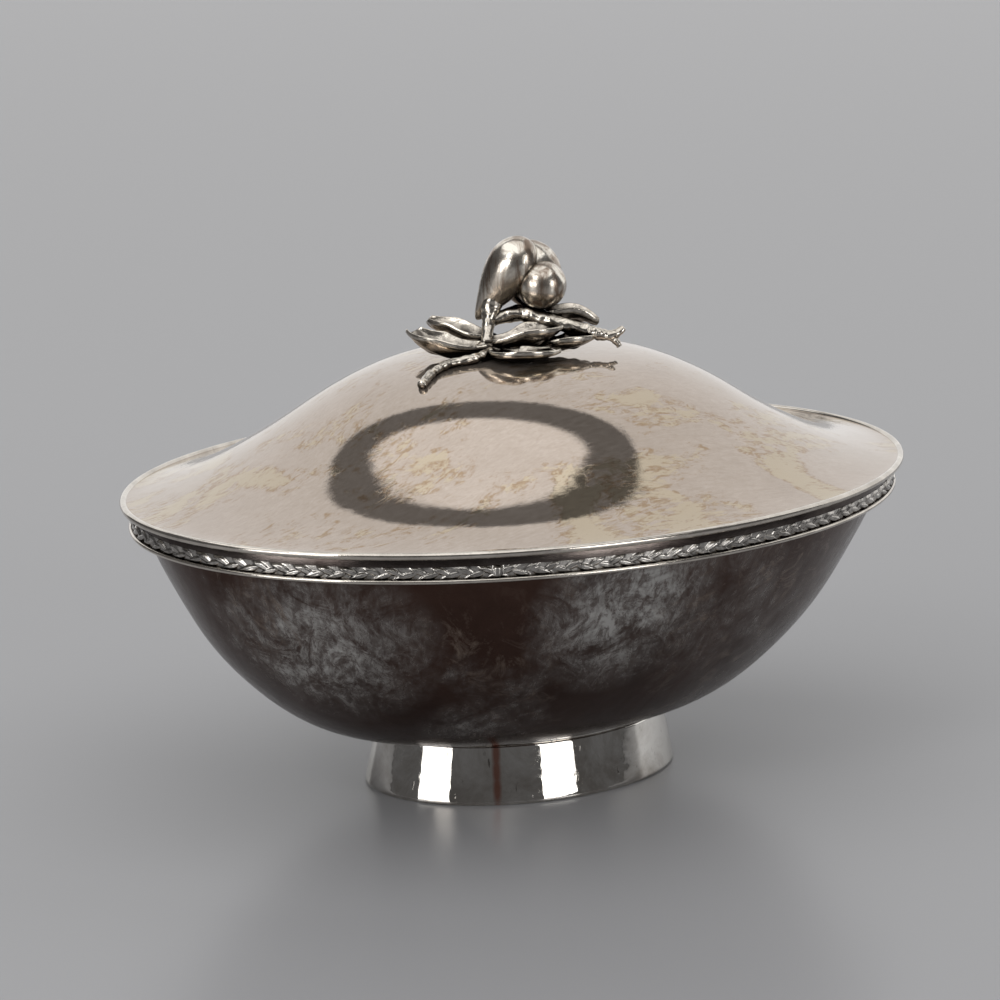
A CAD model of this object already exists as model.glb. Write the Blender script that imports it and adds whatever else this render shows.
import math
import random

import bpy
import numpy as np
from mathutils import Euler, Matrix, Vector


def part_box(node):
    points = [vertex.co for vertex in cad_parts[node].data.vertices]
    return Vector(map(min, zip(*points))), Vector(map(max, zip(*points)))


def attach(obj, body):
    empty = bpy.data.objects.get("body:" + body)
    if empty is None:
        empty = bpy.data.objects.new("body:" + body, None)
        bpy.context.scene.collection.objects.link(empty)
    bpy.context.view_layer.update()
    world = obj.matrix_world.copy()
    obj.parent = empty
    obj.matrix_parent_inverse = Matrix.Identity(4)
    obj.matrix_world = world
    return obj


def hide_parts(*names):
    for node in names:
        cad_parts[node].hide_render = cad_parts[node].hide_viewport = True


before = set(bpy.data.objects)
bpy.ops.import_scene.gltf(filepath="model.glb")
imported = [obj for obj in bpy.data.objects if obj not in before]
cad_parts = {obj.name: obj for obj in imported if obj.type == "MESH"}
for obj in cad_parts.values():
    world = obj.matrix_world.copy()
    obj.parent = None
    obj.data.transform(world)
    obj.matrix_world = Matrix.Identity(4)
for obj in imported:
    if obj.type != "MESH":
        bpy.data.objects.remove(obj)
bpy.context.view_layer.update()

MM = 0.001
random.seed(7)


def node_box(name):
    """Lowest and highest corner of a CAD node, in millimetres."""
    low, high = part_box(name)
    return [v / MM for v in low], [v / MM for v in high]


# ---- driving dimensions, from the frame ---------------------------------------------------
HALF_LENGTH = node_box("lid_edge_wire")[1][0]
RIM_RATIO = node_box("lid_edge_wire")[1][1] / HALF_LENGTH     # width over length at the rim
SEAT_Z = node_box("mouth_collar")[1][2]
COLLAR = node_box("mouth_collar")[1][:2]
BORDER = node_box("leaf_border")
WIRE_BOX = node_box("border_wire")
FOOT = node_box("foot_band")[1]
LID_TOP = node_box("lid_shell")[1][2]
FOOT_INSET, FOOT_WALL = 2.1, 1.1       # how far the band leans in at its top, and its thickness
DOME_HEIGHT, TOP_RATIO = 23.3, 0.848   # the dome's rise, and its width over length near the top
LID_SHEET, BOWL_SHEET = 0.9, 1.0
LID_WIRE_RADIUS, LID_GAP = 0.65, 0.05
LID_STEPS, BOWL_STEPS = 110, 90        # points along the outer profile
ROUND, FOOT_ROUND = 288, 240           # points round an oval

# Height and half length of the bowl's outer wall; share of the half length and of the rise of the dome.
BOWL_PROFILE = [(9.4, 16.0), (9.8, 24.0), (11.0, 32.0), (14.0, 43.6), (18.0, 50.8), (23.0, 57.0),
                (31.0, 64.4), (41.0, 70.6), (52.0, 75.7), (SEAT_Z, 76.7)]
BOTTOM_RATIO = 0.64
OGEE = [(1.0, 0.0), (0.975, 0.0), (0.92, 0.025), (0.85, 0.08), (0.78, 0.16), (0.7, 0.28), (0.6, 0.46),
        (0.5, 0.66), (0.4, 0.825), (0.3, 0.935), (0.2, 0.985), (0.1, 1.0), (0.03, 1.0)]
YAW = math.radians(38)      # the finial's side and deep directions, as in the CAD
SIDE = np.array([math.cos(YAW), -math.sin(YAW), 0.0])
DEEP = np.array([math.sin(YAW), math.cos(YAW), 0.0])


# ---- mesh helpers -------------------------------------------------------------------------
def spot(side, deep, z):
    """Point in millimetres, in the finial's own directions."""
    return SIDE * side + DEEP * deep + np.array([0.0, 0.0, z])


def make_piece(name, points, faces, material, body, replaces=(), slot=None, subdivide=0, hollow=None):
    """Smooth mesh piece from points in millimetres, riding on a body; hollow says how sunk each point is."""
    mesh = bpy.data.meshes.new(name)
    mesh.from_pydata([tuple(np.asarray(p) * MM) for p in points], [], faces)
    if hollow is not None:
        mesh.attributes.new("hollow", "FLOAT", "POINT").data.foreach_set("value", np.asarray(hollow, float))
    mesh.validate()
    for polygon in mesh.polygons:
        polygon.use_smooth = True
    mesh.materials.append(material)
    piece = bpy.data.objects.new(name, mesh)
    bpy.context.collection.objects.link(piece)
    if subdivide:
        modifier = piece.modifiers.new("smooth", "SUBSURF")
        modifier.levels = modifier.render_levels = subdivide
    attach(piece, body)
    if replaces:
        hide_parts(*replaces)
    return piece


def grid_faces(rows, columns, close_rows=False):
    """Quads of a grid whose columns run round and meet."""
    faces = []
    for r in range(rows if close_rows else rows - 1):
        for c in range(columns):
            n, below = (c + 1) % columns, (r + 1) % rows
            faces.append((r * columns + c, r * columns + n, below * columns + n, below * columns + c))
    return faces


def spline(points, count):
    """Smooth curve through points of any dimension, spaced by chord length."""
    points = np.asarray(points, float)
    chord = np.concatenate([[0], np.cumsum(np.linalg.norm(np.diff(points, axis=0), axis=1))])
    n = len(points)
    h = np.diff(chord)
    a = np.zeros((n, n))
    rhs = np.zeros_like(points)
    a[0, 0] = a[-1, -1] = 1
    for i in range(1, n - 1):
        a[i, i - 1:i + 2] = h[i - 1], 2 * (h[i - 1] + h[i]), h[i]
        rhs[i] = 3 * ((points[i + 1] - points[i]) / h[i] - (points[i] - points[i - 1]) / h[i - 1])
    c = np.linalg.solve(a, rhs)
    out = []
    for t in np.linspace(0, chord[-1], count):
        i = min(max(np.searchsorted(chord, t) - 1, 0), n - 2)
        d = t - chord[i]
        b = (points[i + 1] - points[i]) / h[i] - h[i] * (2 * c[i] + c[i + 1]) / 3
        out.append(points[i] + b * d + c[i] * d ** 2 + (c[i + 1] - c[i]) / (3 * h[i]) * d ** 3)
    return np.array(out)


def oval_skin(profile, columns):
    """Points of a surface through ovals given as (z, half length, half width), row by row."""
    turn = np.linspace(0, 2 * math.pi, columns, endpoint=False)
    return [(a * math.cos(t), b * math.sin(t), z) for z, a, b in profile for t in turn]


def inset(profile, depth):
    """Profile moved inwards, square to its slope: the inner face of a sheet."""
    profile = np.asarray(profile)
    slope = np.gradient(profile[:, :2], axis=0)
    slope /= np.linalg.norm(slope, axis=1)[:, None]
    moved = profile.copy()
    moved[:, 0] += depth * slope[:, 1]
    moved[:, 1] -= depth * slope[:, 0]
    moved[:, 2] -= depth * slope[:, 0]
    return moved


def line_inside(piece, first_point):
    """Gives the faces made only of points from first_point on the paler finish of the inside."""
    piece.data.materials.append(INSIDE)
    for polygon in piece.data.polygons:
        if min(polygon.vertices) >= first_point:
            polygon.material_index = 1


def closed_oval(name, profile, columns, **kw):
    """Oval body whose profile is a closed loop."""
    return make_piece(name, oval_skin(profile, columns), grid_faces(len(profile), columns, True), **kw)


# ---- materials ----------------------------------------------------------------------------
class Graph:
    """Short way to wire a material's nodes."""

    def __init__(self, name):
        self.material = bpy.data.materials.new(name)
        self.material.use_nodes = True
        self.tree = self.material.node_tree
        self.shader = self.tree.nodes["Principled BSDF"]
        self.coords = self.tree.nodes.new("ShaderNodeTexCoord").outputs["Object"]

    def link(self, source, target):
        self.tree.links.new(source, target)

    def noise(self, scale, detail=4.0, rough=0.55, distortion=0.0, stretch=(1, 1, 1)):
        """Noise over the object; scale is per metre, and stretch under 1 draws it out along an axis."""
        mapping = self.tree.nodes.new("ShaderNodeMapping")
        mapping.inputs["Scale"].default_value = stretch
        self.link(self.coords, mapping.inputs["Vector"])
        node = self.tree.nodes.new("ShaderNodeTexNoise")
        node.inputs["Scale"].default_value = scale
        node.inputs["Detail"].default_value = detail
        node.inputs["Roughness"].default_value = rough
        node.inputs["Distortion"].default_value = distortion
        self.link(mapping.outputs["Vector"], node.inputs["Vector"])
        return node.outputs["Fac"]

    def ramp(self, source, stops):
        """Ramp through (position, grey value or colour) stops."""
        node = self.tree.nodes.new("ShaderNodeValToRGB")
        elements = node.color_ramp.elements
        while len(elements) < len(stops):
            elements.new(0.5)
        for element, (position, value) in zip(elements, stops):
            element.position = position
            element.color = (value, value, value, 1) if isinstance(value, (int, float)) else (*value, 1)
        self.link(source, node.inputs["Fac"])
        return node.outputs["Color"]

    def mix(self, factor, low, high):
        """Colour between low and high; each of the three is a value or a socket."""
        node = self.tree.nodes.new("ShaderNodeMix")
        node.data_type = "RGBA"
        for socket, value in ((node.inputs[0], factor), (node.inputs[6], low), (node.inputs[7], high)):
            if isinstance(value, tuple):
                socket.default_value = (*value, 1)
            elif isinstance(value, float):
                socket.default_value = value
            else:
                self.link(value, socket)
        return node.outputs[2]

    def math(self, operation, a, b):
        node = self.tree.nodes.new("ShaderNodeMath")
        node.operation = operation
        for socket, value in zip(node.inputs, (a, b)):
            if isinstance(value, (int, float)):
                socket.default_value = value
            else:
                self.link(value, socket)
        return node.outputs[0]

    def near(self, place, radius, along=(1, 1, 1), core=0.15):
        """One at a place on the object (metres), none past the radius; along weighs the distance by axis."""
        flat = self.tree.nodes.new("ShaderNodeMapping")
        flat.inputs["Scale"].default_value = along
        self.link(self.coords, flat.inputs["Vector"])
        node = self.tree.nodes.new("ShaderNodeVectorMath")
        node.operation = "DISTANCE"
        node.inputs[1].default_value = [at * count for at, count in zip(place, along)]
        self.link(flat.outputs["Vector"], node.inputs[0])
        share = self.math("DIVIDE", node.outputs["Value"], radius)
        return self.ramp(share, [(core, 1.0), (1.0, 0.0)])

    def openness(self, reach, dark, light):
        """Nothing in creases and one on open faces, from how much is seen within reach (metres)."""
        node = self.tree.nodes.new("ShaderNodeAmbientOcclusion")
        node.inputs["Distance"].default_value = reach
        node.samples = 8
        return self.ramp(node.outputs["AO"], [(dark, 0.0), (light, 1.0)])

    def bump(self, height, strength, distance, normal=None):
        node = self.tree.nodes.new("ShaderNodeBump")
        node.inputs["Strength"].default_value = strength
        node.inputs["Distance"].default_value = distance
        self.link(height, node.inputs["Height"])
        if normal:
            self.link(normal, node.inputs["Normal"])
        return node.outputs["Normal"]

    def finish(self, color, roughness, normal, metallic=1.0):
        """Joins the shader; metallic is None where a socket is linked to it already."""
        self.link(color, self.shader.inputs["Base Color"])
        self.link(roughness, self.shader.inputs["Roughness"])
        self.link(normal, self.shader.inputs["Normal"])
        if metallic is not None:
            self.shader.inputs["Metallic"].default_value = metallic
        return self.material


def lid_silver():
    """Pale silver under a thin pinkish film that has been wiped away in streaks with brown ragged edges."""
    bare_dark, bare_light = (0.46, 0.39, 0.29), (0.55, 0.465, 0.35)
    film_dark, film_light = (0.43, 0.365, 0.31), (0.60, 0.525, 0.46)
    hatch_brown, edge_brown = (0.30, 0.23, 0.17), (0.34, 0.235, 0.145)
    g = Graph("lid_silver")
    cloud = g.noise(30, 6, 0.62, 1.0, (1, 1.25, 1))
    ragged = g.noise(170, 6, 0.75, 1.6, (0.45, 1.5, 1))
    film = g.math("ADD", g.math("MULTIPLY", cloud, 0.72), g.math("MULTIPLY", ragged, 0.28))
    cover = g.ramp(film, [(0.435, 0.0), (0.465, 1.0)])
    edge = g.ramp(film, [(0.41, 0.0), (0.445, 1.0), (0.462, 1.0), (0.50, 0.0)])
    flecks = g.ramp(g.noise(520, 6, 0.75, 1.2, (0.5, 1.6, 1)), [(0.48, 0.0), (0.58, 0.9)])
    hatch = g.ramp(g.noise(1500, 6, 0.7, 0.8, (0.22, 1.3, 1)), [(0.35, 0.0), (0.68, 1.0)])
    bare = g.mix(g.noise(55, 4, 0.6), bare_dark, bare_light)
    filmed = g.mix(g.noise(75, 6, 0.7), film_dark, film_light)
    filmed = g.mix(hatch, g.mix(0.35, filmed, hatch_brown), filmed)
    color = g.mix(g.math("MULTIPLY", edge, flecks), g.mix(cover, bare, filmed), edge_brown)
    roughness = g.ramp(g.math("ADD", g.math("MULTIPLY", cover, 0.55), g.math("MULTIPLY", hatch, 0.35)),
                       [(0.1, 0.012), (0.9, 0.045)])
    swirls = g.bump(hatch, 0.03, 0.00005)
    dents = g.bump(g.noise(62, 3, 0.5, 0.4), 0.11, 0.0007, swirls)
    dull = g.math("ADD", g.math("MULTIPLY", cover, 0.6), g.math("MULTIPLY", hatch, 0.4))
    g.link(g.ramp(dull, [(0.0, 0.95), (1.0, 0.82)]), g.shader.inputs["Metallic"])
    return g.finish(color, roughness, g.bump(cover, 0.05, 0.00006, dents), None)


def body_silver():
    """Dark brown tarnish with smoky grey blooms at three places, brushed upright, and rubbed strokes."""
    tarnish_dark, tarnish_light = (0.018, 0.008, 0.006), (0.115, 0.066, 0.050)
    smoke_grey, rubbed_brown = (0.50, 0.49, 0.47), (0.30, 0.235, 0.19)
    g = Graph("body_silver")
    tarnish = g.mix(g.noise(32, 7, 0.75, 0.8), tarnish_dark, tarnish_light)
    left = g.near((-0.0600, -0.0215, 0.037), 0.022)
    right = g.near((-0.0140, -0.0486, 0.042), 0.021)
    low = g.near((-0.0360, -0.0300, 0.015), 0.011)
    bloom = g.math("MAXIMUM", g.math("MULTIPLY", right, 1.35), g.math("MULTIPLY", low, 0.9))
    bloom = g.math("MAXIMUM", left, bloom)
    patchy = g.ramp(g.noise(120, 8, 0.8, 1.0, (0.8, 1.0, 1.0)), [(0.38, 0.10), (0.62, 1.0)])
    brushed = g.ramp(g.noise(620, 6, 0.75, 0.6, (1.0, 1.0, 0.18)), [(0.36, 0.25), (0.62, 1.0)])
    broad = g.ramp(g.noise(26, 5, 0.65), [(0.52, 0.0), (0.74, 0.7)])
    smoke = g.math("MULTIPLY", g.math("MULTIPLY", g.math("ADD", bloom, broad), patchy), brushed)
    color = g.mix(g.ramp(smoke, [(0.0, 0.0), (0.75, 0.95)]), tarnish, smoke_grey)
    strokes = g.ramp(g.noise(240, 7, 0.8, 1.4, (0.5, 1.0, 0.5)), [(0.52, 0.0), (0.66, 0.8)])
    rubbed = g.ramp(g.noise(22, 4), [(0.48, 0.10), (0.62, 1.0)])
    color = g.mix(g.math("MULTIPLY", strokes, rubbed), color, rubbed_brown)
    roughness = g.ramp(g.math("ADD", g.math("MULTIPLY", smoke, 0.5), g.math("MULTIPLY", brushed, 0.35)),
                       [(0.1, 0.14), (0.8, 0.46)])
    g.link(g.ramp(smoke, [(0.0, 0.96), (0.75, 0.50)]), g.shader.inputs["Metallic"])
    dents = g.bump(g.noise(38, 3, 0.5, 0.4), 0.55, 0.0011)
    return g.finish(color, roughness, g.bump(brushed, 0.06, 0.0002, dents), None)


def bright_silver(name, low, high, polish=0.12, scratch=0.10, wear=60):
    """Polished silver with fine scratches and faint stains."""
    g = Graph(name)
    stain = g.ramp(g.noise(wear, 5, 0.65, 0.8), [(0.35, 0.0), (0.65, 1.0)])
    specks = g.ramp(g.noise(wear * 14, 5, 0.75, 0.6), [(0.62, 0.0), (0.72, 0.7)])
    color = g.mix(specks, g.mix(stain, low, high), tuple(0.35 * v for v in low))
    roughness = g.ramp(g.noise(330, 5, 0.7, 1.0, (0.5, 1, 1)), [(0.45, polish), (0.8, polish + 0.10)])
    scratches = g.bump(g.noise(2200, 3, 0.6, 2.0, (0.2, 0.9, 1)), scratch, 0.0002)
    return g.finish(color, roughness, g.bump(g.noise(80, 2), 0.2, 0.0005, scratches))


def foot_silver():
    """Bright foot: stains, upright scratches and the coppery soldered seam of the band at the front."""
    stain_dark, silver = (0.50, 0.465, 0.42), (0.78, 0.76, 0.72)
    scratch_dark, speck_dark, copper = (0.13, 0.11, 0.09), (0.30, 0.27, 0.23), (0.36, 0.12, 0.07)
    g = Graph("foot_silver")
    stain = g.ramp(g.noise(70, 6, 0.7, 0.8), [(0.38, 0.0), (0.62, 1.0)])
    color = g.mix(stain, stain_dark, silver)
    scratch = g.ramp(g.noise(1300, 3, 0.6, 0.3, (1, 1, 0.06)), [(0.66, 0.0), (0.72, 0.75)])
    color = g.mix(scratch, color, scratch_dark)
    specks = g.ramp(g.noise(1100, 6, 0.8, 0.6), [(0.62, 0.0), (0.70, 0.8)])
    groups = g.ramp(g.noise(90, 3), [(0.45, 0.0), (0.6, 1.0)])
    color = g.mix(g.math("MULTIPLY", specks, groups), color, speck_dark)
    seam = 0.0
    for place in ((-0.0196, -0.0180, 0.0027), (-0.0193, -0.0174, 0.006), (-0.0190, -0.01685, 0.009)):
        seam = g.math("MAXIMUM", g.near(place, 0.0010, (1, 1, 0.15), 0.4), seam)
    color = g.mix(g.math("MULTIPLY", seam, 0.8), color, copper)
    roughness = g.ramp(g.noise(420, 6, 0.75, 1.0, (0.7, 1, 1)), [(0.48, 0.02), (0.75, 0.16)])
    dents = g.bump(g.noise(110, 3), 0.16, 0.0004)
    return g.finish(color, roughness, g.bump(scratch, 0.10, 0.0001, dents))


def cast_silver(name, sunk_color, open_color, polish=0.13, lump=0.25, reach=0.0035):
    """Cast silver: bright on ridges and edges, oxidised in the hollows."""
    g = Graph(name)
    stain = g.ramp(g.noise(380, 6, 0.75, 0.8), [(0.34, 0.30), (0.60, 1.0)])
    sunk = g.tree.nodes.new("ShaderNodeAttribute")
    sunk.attribute_name = "hollow"
    raised = g.ramp(sunk.outputs["Fac"], [(0.15, 1.0), (0.85, 0.12)])
    bright = g.math("MULTIPLY", g.math("MULTIPLY", g.openness(reach, 0.45, 0.92), stain), raised)
    roughness = g.ramp(g.noise(700, 4, 0.6), [(0.3, polish), (0.8, polish + 0.2)])
    lumps = g.bump(g.noise(520, 3), lump, 0.0004)
    grain = g.bump(g.noise(3000, 3), 0.12, 0.00012, lumps)
    return g.finish(g.mix(bright, sunk_color, open_color), roughness, grain)


def fruit_silver():
    """Polished fruit with brown streaks of tarnish running from the stalk to the top."""
    crease_dark, streak_brown, silver = (0.05, 0.038, 0.03), (0.26, 0.20, 0.155), (0.84, 0.79, 0.70)
    g = Graph("fruit_silver")
    streak = g.ramp(g.noise(330, 6, 0.7, 0.9, (1.0, 1.0, 0.35)), [(0.40, 0.0), (0.62, 1.0)])
    color = g.mix(g.openness(0.004, 0.40, 0.95), crease_dark, g.mix(streak, streak_brown, silver))
    roughness = g.ramp(streak, [(0.0, 0.30), (1.0, 0.15)])
    return g.finish(color, roughness, g.bump(g.noise(1800, 4, 0.6), 0.12, 0.0002))


LID = lid_silver()
BODY = body_silver()
FOOT_FINISH = foot_silver()
BAND = bright_silver("band_silver", (0.05, 0.038, 0.034), (0.13, 0.11, 0.10), 0.16)
WIRE = bright_silver("wire_silver", (0.50, 0.46, 0.41), (0.72, 0.67, 0.60), 0.10, 0.06, 120)
CAST = cast_silver("finial_silver", (0.020, 0.015, 0.012), (0.84, 0.77, 0.67), 0.10)
FRUIT = fruit_silver()
RELIEF = cast_silver("border_silver", (0.02, 0.017, 0.016), (0.62, 0.59, 0.55), 0.12, 0.15, 0.0012)
INSIDE = bright_silver("inside_silver", (0.42, 0.39, 0.35), (0.60, 0.57, 0.52), 0.22, 0.1)


# ---- bowl ---------------------------------------------------------------------------------
def bowl_stations():
    """(z, half length, half width) of the outer wall; the plan grows narrower towards the bottom."""
    low = BOWL_PROFILE[0][0]
    return [(z, a, a * (BOTTOM_RATIO + (RIM_RATIO - BOTTOM_RATIO) * (z - low) / (SEAT_Z - low)))
            for z, a in BOWL_PROFILE]


def wall_at(z):
    """Half length and half width of the outer wall at a height."""
    heights, lengths, widths = zip(*bowl_stations())
    return np.interp(z, heights, lengths), np.interp(z, heights, widths)


def bowl():
    """Raised sheet: outer wall, mouth edge, inner wall and a closed bottom."""
    low = BOWL_PROFILE[0][0]
    bottom = [(low, 1.0, 0.64), (low, 8.0, 5.1)]
    outer = spline(bottom + bowl_stations(), BOWL_STEPS)
    inner = inset(outer, BOWL_SHEET)[::-1]
    inner[0][0] = SEAT_Z
    profile = np.concatenate([outer, inner])
    underside_cap = tuple(range(ROUND - 1, -1, -1))
    inside_cap = tuple(range((len(profile) - 1) * ROUND, len(profile) * ROUND))
    faces = grid_faces(len(profile), ROUND) + [underside_cap, inside_cap]
    piece = make_piece("bowl_body", oval_skin(profile, ROUND), faces, BODY, "bowl", replaces=["bowl_shell"],
                       slot="body_silver")
    line_inside(piece, len(outer) * ROUND)


def ring_profile(centre, radius, points=20):
    """Round section of an oval wire; centre is (z, half length, half width)."""
    z, a, b = centre
    return [(z + radius * math.sin(t), a + radius * math.cos(t), b + radius * math.cos(t))
            for t in np.linspace(0, 2 * math.pi, points, endpoint=False)]


def mouth_band():
    """Plain collar under the lid, with softened edges."""
    low = node_box("mouth_collar")[0][2]
    a, b = COLLAR
    soft, depth = 0.25, 1.6
    section = [(low, depth), (low, soft), (low + soft * 0.3, soft * 0.3), (low + soft, 0), (SEAT_Z - soft, 0),
               (SEAT_Z - soft * 0.3, soft * 0.3), (SEAT_Z, soft), (SEAT_Z, depth)]
    closed_oval("mouth_band", [(z, a - d, b - d) for z, d in section], ROUND, material=BAND, body="bowl",
                replaces=["mouth_collar"], slot="rim_silver")


def laurel_leaf(along, across, length, width):
    """Relief of one worn pointed leaf centred at the origin: domed, with a faint midrib."""
    rib_depth, rib_width = 0.22, 0.13
    half = width * np.clip(1 - np.abs(2 * along / length) ** 2.2, 0, 1)
    inside = np.clip(1 - (across / np.maximum(half, 1e-3)) ** 2, 0, 1)
    crease = 1 - rib_depth * np.exp(-(across / rib_width) ** 2)
    return np.where(half > 1e-3, np.sqrt(inside) * crease * (0.70 + 0.60 * along / length), 0)


def laurel_border():
    """Worn strip of laurel leaves in two staggered rows that change direction at two ties."""
    leaves, per_leaf, rows = 106, 20, 20
    leaf_length, leaf_width, tie_radius, ground = 4.3, 0.60, 0.9, 0.06
    first_tie = math.radians(237)
    staggered = (0.0, 0.20, 0.42), (0.5, -0.26, -0.30)      # shift in pitches, height as a share, lean
    low, high = BORDER[0][2], BORDER[1][2]
    height = high - low
    base = np.array(COLLAR) - 0.1
    proud = BORDER[1][0] - base[0]
    fine = np.linspace(0, 2 * math.pi, 4000)
    arc = np.concatenate([[0], np.cumsum(np.hypot(np.diff(BORDER[1][0] * np.cos(fine)),
                                                  np.diff(BORDER[1][1] * np.sin(fine))))])
    around, pitch, columns = arc[-1], arc[-1] / leaves, leaves * per_leaf
    s = np.arange(columns) * pitch / per_leaf
    turn = np.interp((s + np.interp(first_tie, fine, arc)) % around, arc, fine)
    uneven = np.array([[random.uniform(0.45, 1.0), random.uniform(-0.5, 0.5), random.uniform(0.85, 1.15)]
                       for _ in range(2 * leaves)])
    points = []
    for row in range(rows):
        y = (row / (rows - 1) - 0.5) * height
        relief = np.full(columns, ground)
        for way, share in ((1, s < around / 2), (-1, s >= around / 2)):
            for line, (shift, centre_y, lean) in enumerate(staggered):
                for step in (-1, 0, 1):
                    index = np.floor(s / pitch + shift).astype(int) + step
                    strength, slide, size = uneven[(2 * index + line) % (2 * leaves)].T
                    x = way * (s - (index + 0.5 - shift) * pitch + slide * 0.5)
                    along = x * math.cos(lean) + (y - centre_y * height) * math.sin(lean)
                    across = -x * math.sin(lean) + (y - centre_y * height) * math.cos(lean)
                    leaf = strength * laurel_leaf(along, across, leaf_length * size, leaf_width * size)
                    relief = np.where(share, np.maximum(relief, leaf), relief)
        from_tie = np.minimum(s % (around / 2), around / 2 - s % (around / 2))
        relief = np.maximum(relief, 0.85 * np.sqrt(np.clip(1 - (from_tie / tie_radius) ** 2, 0, 1)))
        relief *= 0.2 + 0.8 * min(1.0, 2.5 * (1 - abs(2 * y / height)) + 0.1)
        out = proud * (0.12 + 0.88 * relief)
        points += [((base[0] + o) * math.cos(t), (base[1] + o) * math.sin(t), (low + high) / 2 + y)
                   for o, t in zip(out, turn)]
    make_piece("laurel_border", points, grid_faces(rows, columns), RELIEF, "bowl", replaces=["leaf_border"],
               slot="rim_silver")


def under_wire():
    """Round wire under the border."""
    (_, _, low), (a, b, high) = WIRE_BOX
    r = (high - low) / 2
    closed_oval("under_wire", ring_profile(((low + high) / 2, a - r, b - r), r), ROUND, material=WIRE,
                body="bowl", replaces=["border_wire"], slot="rim_silver")


def foot():
    """Thin band that leans in towards its top, with a rounded lower edge, and the shoulder above it."""
    a, b, top = FOOT
    section = [(0.0, 0.35), (0.12, 0.1), (0.35, 0.0), (0.7, 0.03 * FOOT_INSET), (1.2, 0.08 * FOOT_INSET),
               (top - 0.9, 0.94 * FOOT_INSET), (top - 0.5, 0.98 * FOOT_INSET), (top - 0.3, FOOT_INSET),
               (top - 0.08, FOOT_INSET + 0.1), (top, FOOT_INSET + 0.35), (top, FOOT_INSET + FOOT_WALL),
               (0.4, FOOT_WALL), (0.1, FOOT_WALL - 0.1), (0.0, FOOT_WALL - 0.35)]
    finish = {"material": FOOT_FINISH, "body": "bowl", "slot": "foot_silver"}
    band = [(z, a - d, b - d) for z, d in section]
    closed_oval("foot_oval", band, FOOT_ROUND, replaces=["foot_band"], **finish)
    sunk, sheet, swell = 1.2, 1.2, 0.12     # its end in the bowl's sheet, its thickness and its crown
    edge = top, a - FOOT_INSET - 0.2, b - FOOT_INSET - 0.2
    seat = top + 0.9, *(v - sunk for v in wall_at(top + 0.9))
    shoulder = [tuple((1 - t) * e + t * k for e, k in zip(edge, seat)) for t in (0.0, 0.3, 0.65, 1.0)]
    shoulder[1] = (shoulder[1][0] + swell, shoulder[1][1], shoulder[1][2])
    shoulder += [(seat[0], seat[1] - sheet, seat[2] - sheet), (top - 0.05, edge[1] - 1.8, edge[2] - 1.8)]
    closed_oval("foot_shoulder", shoulder, FOOT_ROUND, replaces=["foot_collar"], **finish)


# ---- lid ----------------------------------------------------------------------------------
def lid():
    """Ogee dome, rounder in plan towards the top, with its underside."""
    base = LID_TOP - DOME_HEIGHT
    stations = []
    for share, rise in OGEE:
        a = HALF_LENGTH - LID_WIRE_RADIUS if share == 1.0 else HALF_LENGTH * share
        ratio = RIM_RATIO + (TOP_RATIO - RIM_RATIO) * (1 - share ** 2)
        stations.append((base + DOME_HEIGHT * rise, a, a * ratio))
    outer = spline(stations, LID_STEPS)
    inner = inset(outer, LID_SHEET)[::-1]
    inner[-1][0] = SEAT_Z + LID_GAP
    profile = np.concatenate([outer, inner])
    faces = [tuple(reversed(face)) for face in grid_faces(len(profile), ROUND, True)]
    top_cap = tuple(range((LID_STEPS - 1) * ROUND, LID_STEPS * ROUND))
    faces.append(top_cap)
    piece = make_piece("lid_dome", oval_skin(profile, ROUND), faces, LID, "lid", replaces=["lid_shell"],
                       slot="lid_silver")
    line_inside(piece, len(outer) * ROUND)


def lid_wire():
    """Round wire along the lid's edge."""
    z = SEAT_Z + LID_GAP + LID_WIRE_RADIUS
    a, b = HALF_LENGTH - LID_WIRE_RADIUS, HALF_LENGTH * RIM_RATIO - LID_WIRE_RADIUS
    closed_oval("lid_wire", ring_profile((z, a, b), LID_WIRE_RADIUS), ROUND, material=WIRE, body="lid",
                replaces=["lid_edge_wire"], slot="rim_silver")


# ---- finial -------------------------------------------------------------------------------
def lobe(name, centre, half_axes, lean, node, taper=0.0, ridges=0.0, tail=0.0):
    """Egg-shaped lobe leaning sideways; taper narrows it downwards, tail draws its end out."""
    rows, columns = 48, 64
    tilt = math.radians(lean)
    tall = SIDE * math.sin(tilt) + np.array([0, 0, math.cos(tilt)])
    wide = SIDE * math.cos(tilt) - np.array([0, 0, math.sin(tilt)])
    points = []
    for r in range(rows):
        v = math.pi * (r + 0.5) / rows
        low = (1 - math.cos(v)) / 2
        for c in range(columns):
            u = 2 * math.pi * c / columns
            width = math.sin(v) * (1 - taper * low ** 1.6)
            width *= 1 + ridges * math.cos(2 * u + 0.6) * math.sin(v) ** 2
            reach = math.cos(v) - tail * low ** 4
            bow = -0.16 * tail * half_axes[2] * low ** 3
            points.append(centre + wide * (half_axes[0] * width * math.cos(u) + bow)
                          + DEEP * half_axes[1] * width * math.sin(u) + tall * half_axes[2] * reach)
    faces = [tuple(reversed(f)) for f in grid_faces(rows, columns)]
    faces += [tuple(range(columns)), tuple(range(rows * columns - 1, (rows - 1) * columns - 1, -1))]
    make_piece(name, points, faces, FRUIT if "fruit" in name else CAST, "lid", [node], "finial_silver", 1)


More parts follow.
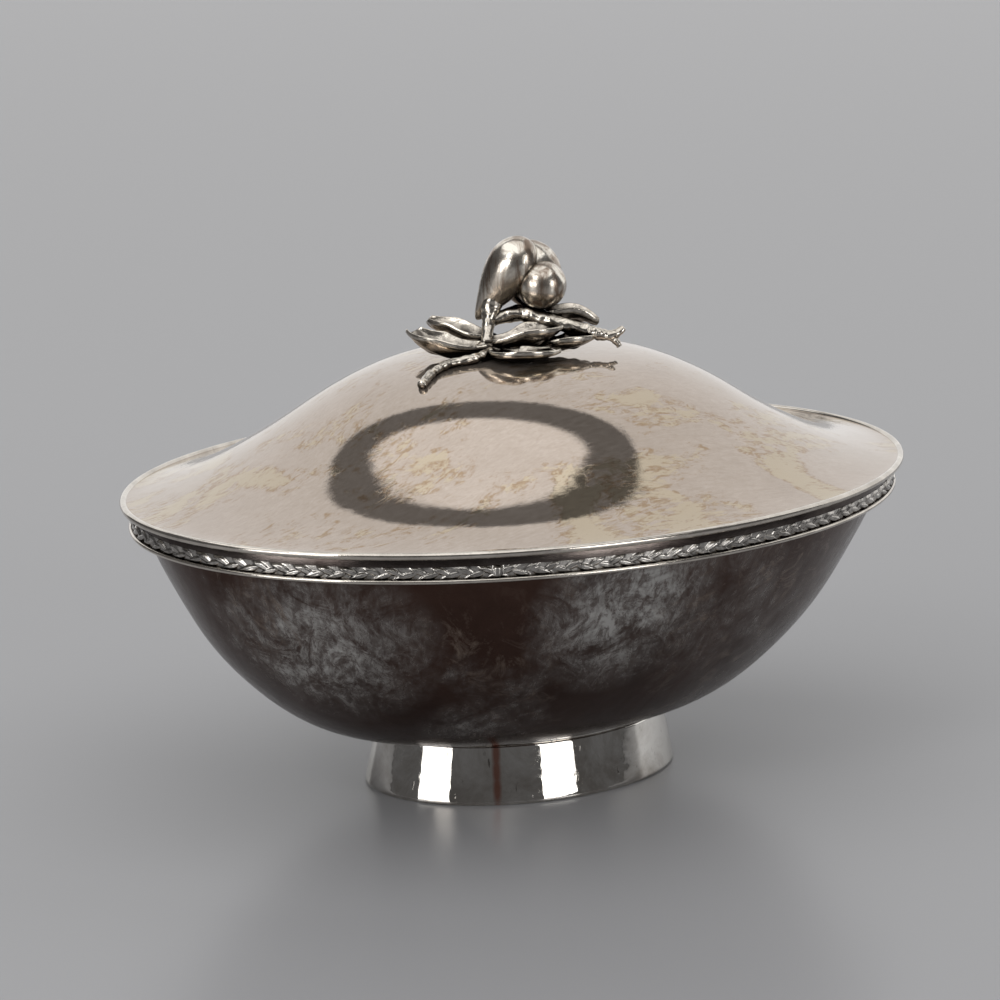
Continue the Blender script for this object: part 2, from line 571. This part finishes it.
def stem(name, path, radii, node, knots=0.12):
    """Twig of uneven thickness through a list of points."""
    rings_per_point, sides = 12, 14
    count = rings_per_point * (len(path) - 1)
    line = spline(path, count)
    radius = np.interp(np.linspace(0, len(radii) - 1, count), range(len(radii)), radii)
    points = []
    for i in range(count):
        along = line[min(i + 1, count - 1)] - line[max(i - 1, 0)]
        along /= np.linalg.norm(along)
        across = np.cross(along, [0, 0, 1.0])
        across /= np.linalg.norm(across)
        lift = np.cross(across, along)
        swell = 1 + knots * math.sin(i * 0.9) * math.sin(i * 0.37 + 1)
        end = min(1.0, 0.75 + 0.25 * min(i, count - 1 - i))
        for k in range(sides):
            t = 2 * math.pi * k / sides
            bark = swell * end * (1 + 0.06 * math.sin(3 * t + i * 0.5))
            points.append(line[i] + (across * math.cos(t) + lift * math.sin(t)) * radius[i] * bark)
    faces = grid_faces(count, sides)
    faces += [tuple(range(sides - 1, -1, -1)), tuple(range((count - 1) * sides, count * sides))]
    make_piece(name, points, faces, CAST, "lid", [node], "finial_silver", 1)


def leaf(name, base, middle, tip, width, cup, node):
    """Thick cast leaf: hollow face up, a rolled rim, a sunk midrib and side veins."""
    rows, columns, thickness, under_shade = 36, 25, 0.95, 0.35
    vein_height, rib_depth, rim_height, ripple = 0.14, 0.34, 0.42, 0.05
    rib_width, rim_width, rim_shade = 0.13, 0.16, 0.30       # shares of half the leaf's width
    top, under, sunk = [], [], []
    for r in range(rows):
        t = r / (rows - 1)
        rib = base * (1 - t) ** 2 + middle * (2 * t * (1 - t)) + tip * t ** 2
        along = (middle - base) * (1 - t) + (tip - middle) * t
        along /= np.linalg.norm(along)
        across = np.cross([0, 0, 1.0], along)
        across /= np.linalg.norm(across)
        normal = np.cross(along, across)
        full = math.sin(math.pi * (0.06 + 0.85 * t)) ** 0.62
        half = width / 2 * full * (1 + 0.06 * math.sin(9 * t + width))
        for c in range(columns):
            x = 2 * c / (columns - 1) - 1
            hollow = cup * full * abs(x) ** 2.4
            slanted = math.cos(abs(x) * 7 - t * 24)
            veins = vein_height * slanted * (1 - abs(x)) * full
            rib_groove = rib_depth * math.exp(-(x / rib_width) ** 2) * full
            rim = rim_height * math.exp(-((1 - abs(x)) / rim_width) ** 2)
            wave = ripple * width * math.sin(8 * t + 3 * x) * abs(x) ** 3
            place = rib + across * x * half + normal * (hollow + veins - rib_groove + wave)
            sunk.append((1 - math.exp(-((1 - abs(x)) / rim_shade) ** 2)) * (0.80 + 0.20 * slanted))
            top.append(place + normal * (0.5 * thickness * full + rim))
            under.append(place - normal * (0.5 * thickness * full * (1 - 0.4 * abs(x)) + 0.3 * rim))
    faces = []
    total = rows * columns
    for r in range(rows - 1):
        for c in range(columns - 1):
            a = r * columns + c
            faces.append((a, a + 1, a + columns + 1, a + columns))
            faces.append(tuple(total + k for k in (a, a + columns, a + columns + 1, a + 1)))
        for c in (0, columns - 1):
            a = r * columns + c
            side = (a, a + columns, total + a + columns, total + a)
            faces.append(side if c == 0 else tuple(reversed(side)))
    for r in (0, rows - 1):
        for c in range(columns - 1):
            a = r * columns + c
            side = (a, total + a, total + a + 1, a + 1)
            faces.append(side if r == 0 else tuple(reversed(side)))
    make_piece(name, top + under, faces, CAST, "lid", [node], "finial_silver", 1,
               hollow=sunk + [under_shade] * total)


def finial():
    """Fruit, stalk and twigs over six cupped leaves, on a pad at the top of the dome."""
    lobe("fruit_front", spot(-2.8, -1.0, 94.0), (5.2, 5.2, 7.9), 31, "fruit_pod", 0.58, 0.04, 0.26)
    lobe("fruit_back", spot(1.7, 1.3, 93.7), (6.1, 4.9, 6.6), -24, "fruit_back_lobe", 0.1)
    lobe("fruit_round", spot(3.7, -1.6, 92.3), (4.7, 4.3, 4.6), 0, "fruit_berry")
    lobe("stem_root", spot(-5.2, -6.2, 81.3), (3.2, 3.6, 1.7), 0, "stem_knot", 0.0, 0.10)
    lobe("leaf_pad", spot(0, 0, LID_TOP + 0.6), (5.0, 5.0, 1.7), 0, "finial_boss", 0.0, 0.05)
    stem("stalk", [spot(-6.3, -6.6, 81.8), spot(-6.1, -4.6, 84.4), spot(-5.8, -2.8, 87.0),
                   spot(-5.2, -1.6, 89.6)], [1.3, 1.1, 1.5, 2.3], "fruit_stalk", 0.04)
    stem("arch", [spot(-5.8, -2.8, 85.6), spot(-2.6, -1.8, 86.6), spot(0.6, -1.4, 86.9),
                  spot(4.0, -2.4, 86.0), spot(9.0, -3.0, 84.8), spot(12.6, -3.2, 83.9)],
         [1.1, 1.5, 1.8, 1.7, 1.4, 1.3], "arched_twig", 0.06)
    stem("fork", [spot(11.8, -3.2, 83.9), spot(14.6, -2.6, 83.2), spot(16.8, -2.4, 83.0),
                  spot(19.0, -2.0, 84.4)], [1.4, 1.2, 1.0, 0.65], "forked_twig", 0.10)
    stem("prong", [spot(16.2, -2.4, 82.8), spot(17.4, -2.6, 82.0), spot(18.2, -2.7, 80.9)],
         [0.8, 0.7, 0.55], "fork_prong", 0.1)
    stem("cut_end", [spot(-5.4, -9.0, 81.2), spot(-9.0, -13.2, 80.6), spot(-12.4, -14.6, 80.2),
                     spot(-15.2, -17.2, 79.5), spot(-18.1, -23.0, 77.6)],
         [1.1, 0.95, 0.85, 0.8, 0.95], "cut_twig", 0.16)
    leaf("front_leaf", spot(-6.4, -6.6, 82.0), spot(1.0, -9.0, 81.2), spot(7.2, -4.6, 84.6), 7.4, 2.3,
         "leaf_front")
    leaf("left_front_leaf", spot(-5.0, -7.6, 81.6), spot(-16.0, -10.4, 78.8), spot(-20.2, -5.2, 84.2),
         7.4, 2.2, "leaf_left_front")
    leaf("left_back_leaf", spot(-4.8, -4.6, 82.4), spot(-13.0, -0.2, 81.4), spot(-17.4, 0.4, 85.2),
         6.4, 1.8, "leaf_left_back")
    leaf("right_leaf", spot(3.0, -1.4, 86.2), spot(9.4, 0.4, 87.0), spot(14.2, 0.2, 84.6), 5.0, 1.2,
         "leaf_right")
    leaf("low_front_leaf", spot(-5.4, -8.8, 81.2), spot(-1.0, -17.6, 80.0), spot(6.4, -9.4, 81.4),
         6.0, 1.0, "leaf_low_front")
    leaf("low_right_leaf", spot(2.2, -2.6, 82.0), spot(9.0, -8.4, 80.6), spot(13.0, -1.6, 82.8),
         5.4, 1.2, "leaf_low_right")


bowl()
mouth_band()
laurel_border()
under_wire()
foot()
lid()
lid_wire()
finial()
for node in ("lid_bezel", "finial_stud", "finial_washer", "finial_nut"):
    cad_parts[node].data.materials.clear()
    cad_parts[node].data.materials.append(INSIDE)


# ---- studio -------------------------------------------------------------------------------
def studio_point(side, deep, z):
    """Metres, in the directions the camera stands square to."""
    return Vector(SIDE) * side + Vector(DEEP) * deep + Vector((0, 0, z))


def area_lamp(name, size, power):
    """Rectangular soft lamp that the camera doesn't see."""
    data = bpy.data.lights.new(name, "AREA")
    data.shape = "RECTANGLE"
    data.size, data.size_y = size
    data.energy = power
    lamp = bpy.data.objects.new(name, data)
    lamp.visible_camera = False
    bpy.context.collection.objects.link(lamp)
    return lamp


def panel(name, place, target, size, power):
    """Soft lamp at a place (side, deep, z), facing a height on the object's axis."""
    lamp = area_lamp(name, size, power)
    lamp.location = studio_point(*place)
    facing = studio_point(0, 0, target) - lamp.location
    lamp.rotation_euler = facing.to_track_quat("-Z", "Y").to_euler()


def sloped_edge_panel(name, near, far, length, power):
    """Panel from its near edge to its far one, each (deep, z), whose edges cross the view at a slant.

    The dark gap between the overhead panel and the backdrop is what the dome reflects as a dark ring.
    """
    slant = math.radians(-18.3)
    across = Vector((math.cos(slant), math.sin(slant)))
    away = Vector((-math.sin(slant), math.cos(slant)))
    rise = Vector(far) - Vector(near)
    middle = (Vector(far) + Vector(near)) / 2
    x_axis = studio_point(*across, 0)
    y_axis = studio_point(*(away * rise.x), rise.y).normalized()
    centre = studio_point(*(away * middle.x), middle.y)
    if x_axis.cross(y_axis).dot(centre) < 0:
        x_axis = -x_axis
    facing = Matrix((x_axis, y_axis, x_axis.cross(y_axis))).transposed().to_4x4()
    area_lamp(name, (length, rise.length), power).matrix_world = Matrix.Translation(centre) @ facing


def floor():
    """Plain pale floor, far wider than the view."""
    size = 6.0
    corners = [(-size, -size, 0), (size, -size, 0), (size, size, 0), (-size, size, 0)]
    mesh = bpy.data.meshes.new("floor")
    mesh.from_pydata(corners, [], [(0, 1, 2, 3)])
    piece = bpy.data.objects.new("floor", mesh)
    bpy.context.collection.objects.link(piece)
    material = bpy.data.materials.new("floor")
    material.use_nodes = True
    shader = material.node_tree.nodes["Principled BSDF"]
    shader.inputs["Base Color"].default_value = (0.325, 0.325, 0.333, 1)
    shader.inputs["Roughness"].default_value = 0.26
    shader.inputs["Specular IOR Level"].default_value = 0.12
    mesh.materials.append(material)


def camera():
    """Looks at the front from a little above."""
    pitch_down = 0.224
    data = bpy.data.cameras.new("camera")
    data.sensor_width = 36.0
    data.lens = 166.4
    view = bpy.data.objects.new("camera", data)
    view.location = studio_point(-0.00387, -0.8392, 0.2425)
    view.rotation_euler = Euler((math.radians(90) - pitch_down, 0, -YAW))
    bpy.context.collection.objects.link(view)
    bpy.context.scene.camera = view


def surroundings():
    """Dim even room for reflections, and pale paper where the camera looks past the floor."""
    world = bpy.data.worlds.new("room")
    world.use_nodes = True
    nodes, links = world.node_tree.nodes, world.node_tree.links
    nodes["Background"].inputs["Color"].default_value = (0.105, 0.104, 0.106, 1)
    paper = nodes.new("ShaderNodeBackground")
    paper.inputs["Color"].default_value = (0.42, 0.42, 0.425, 1)
    seen = nodes.new("ShaderNodeLightPath")
    choose = nodes.new("ShaderNodeMixShader")
    links.new(seen.outputs["Is Camera Ray"], choose.inputs[0])
    links.new(nodes["Background"].outputs[0], choose.inputs[1])
    links.new(paper.outputs[0], choose.inputs[2])
    links.new(choose.outputs[0], nodes["World Output"].inputs["Surface"])
    bpy.context.scene.world = world


floor()
camera()
sloped_edge_panel("overhead", near=(-1.25, 1.15), far=(0.308, 1.15), length=2.2, power=12.4)
sloped_edge_panel("backdrop", near=(1.75, 0.0), far=(0.86, 1.75), length=4.6, power=24.4)
panel("strip_left", (-0.74, -1.0, 0.32), target=0.2, size=(0.72, 0.48), power=4.0)
panel("strip_right", (0.98, -0.76, 0.32), target=0.2, size=(0.44, 0.48), power=2.6)
panel("key", (-0.55, -0.95, 0.85), target=0.05, size=(0.35, 0.35), power=2.4)
surroundings()
bpy.context.scene.view_settings.view_transform = "Standard"
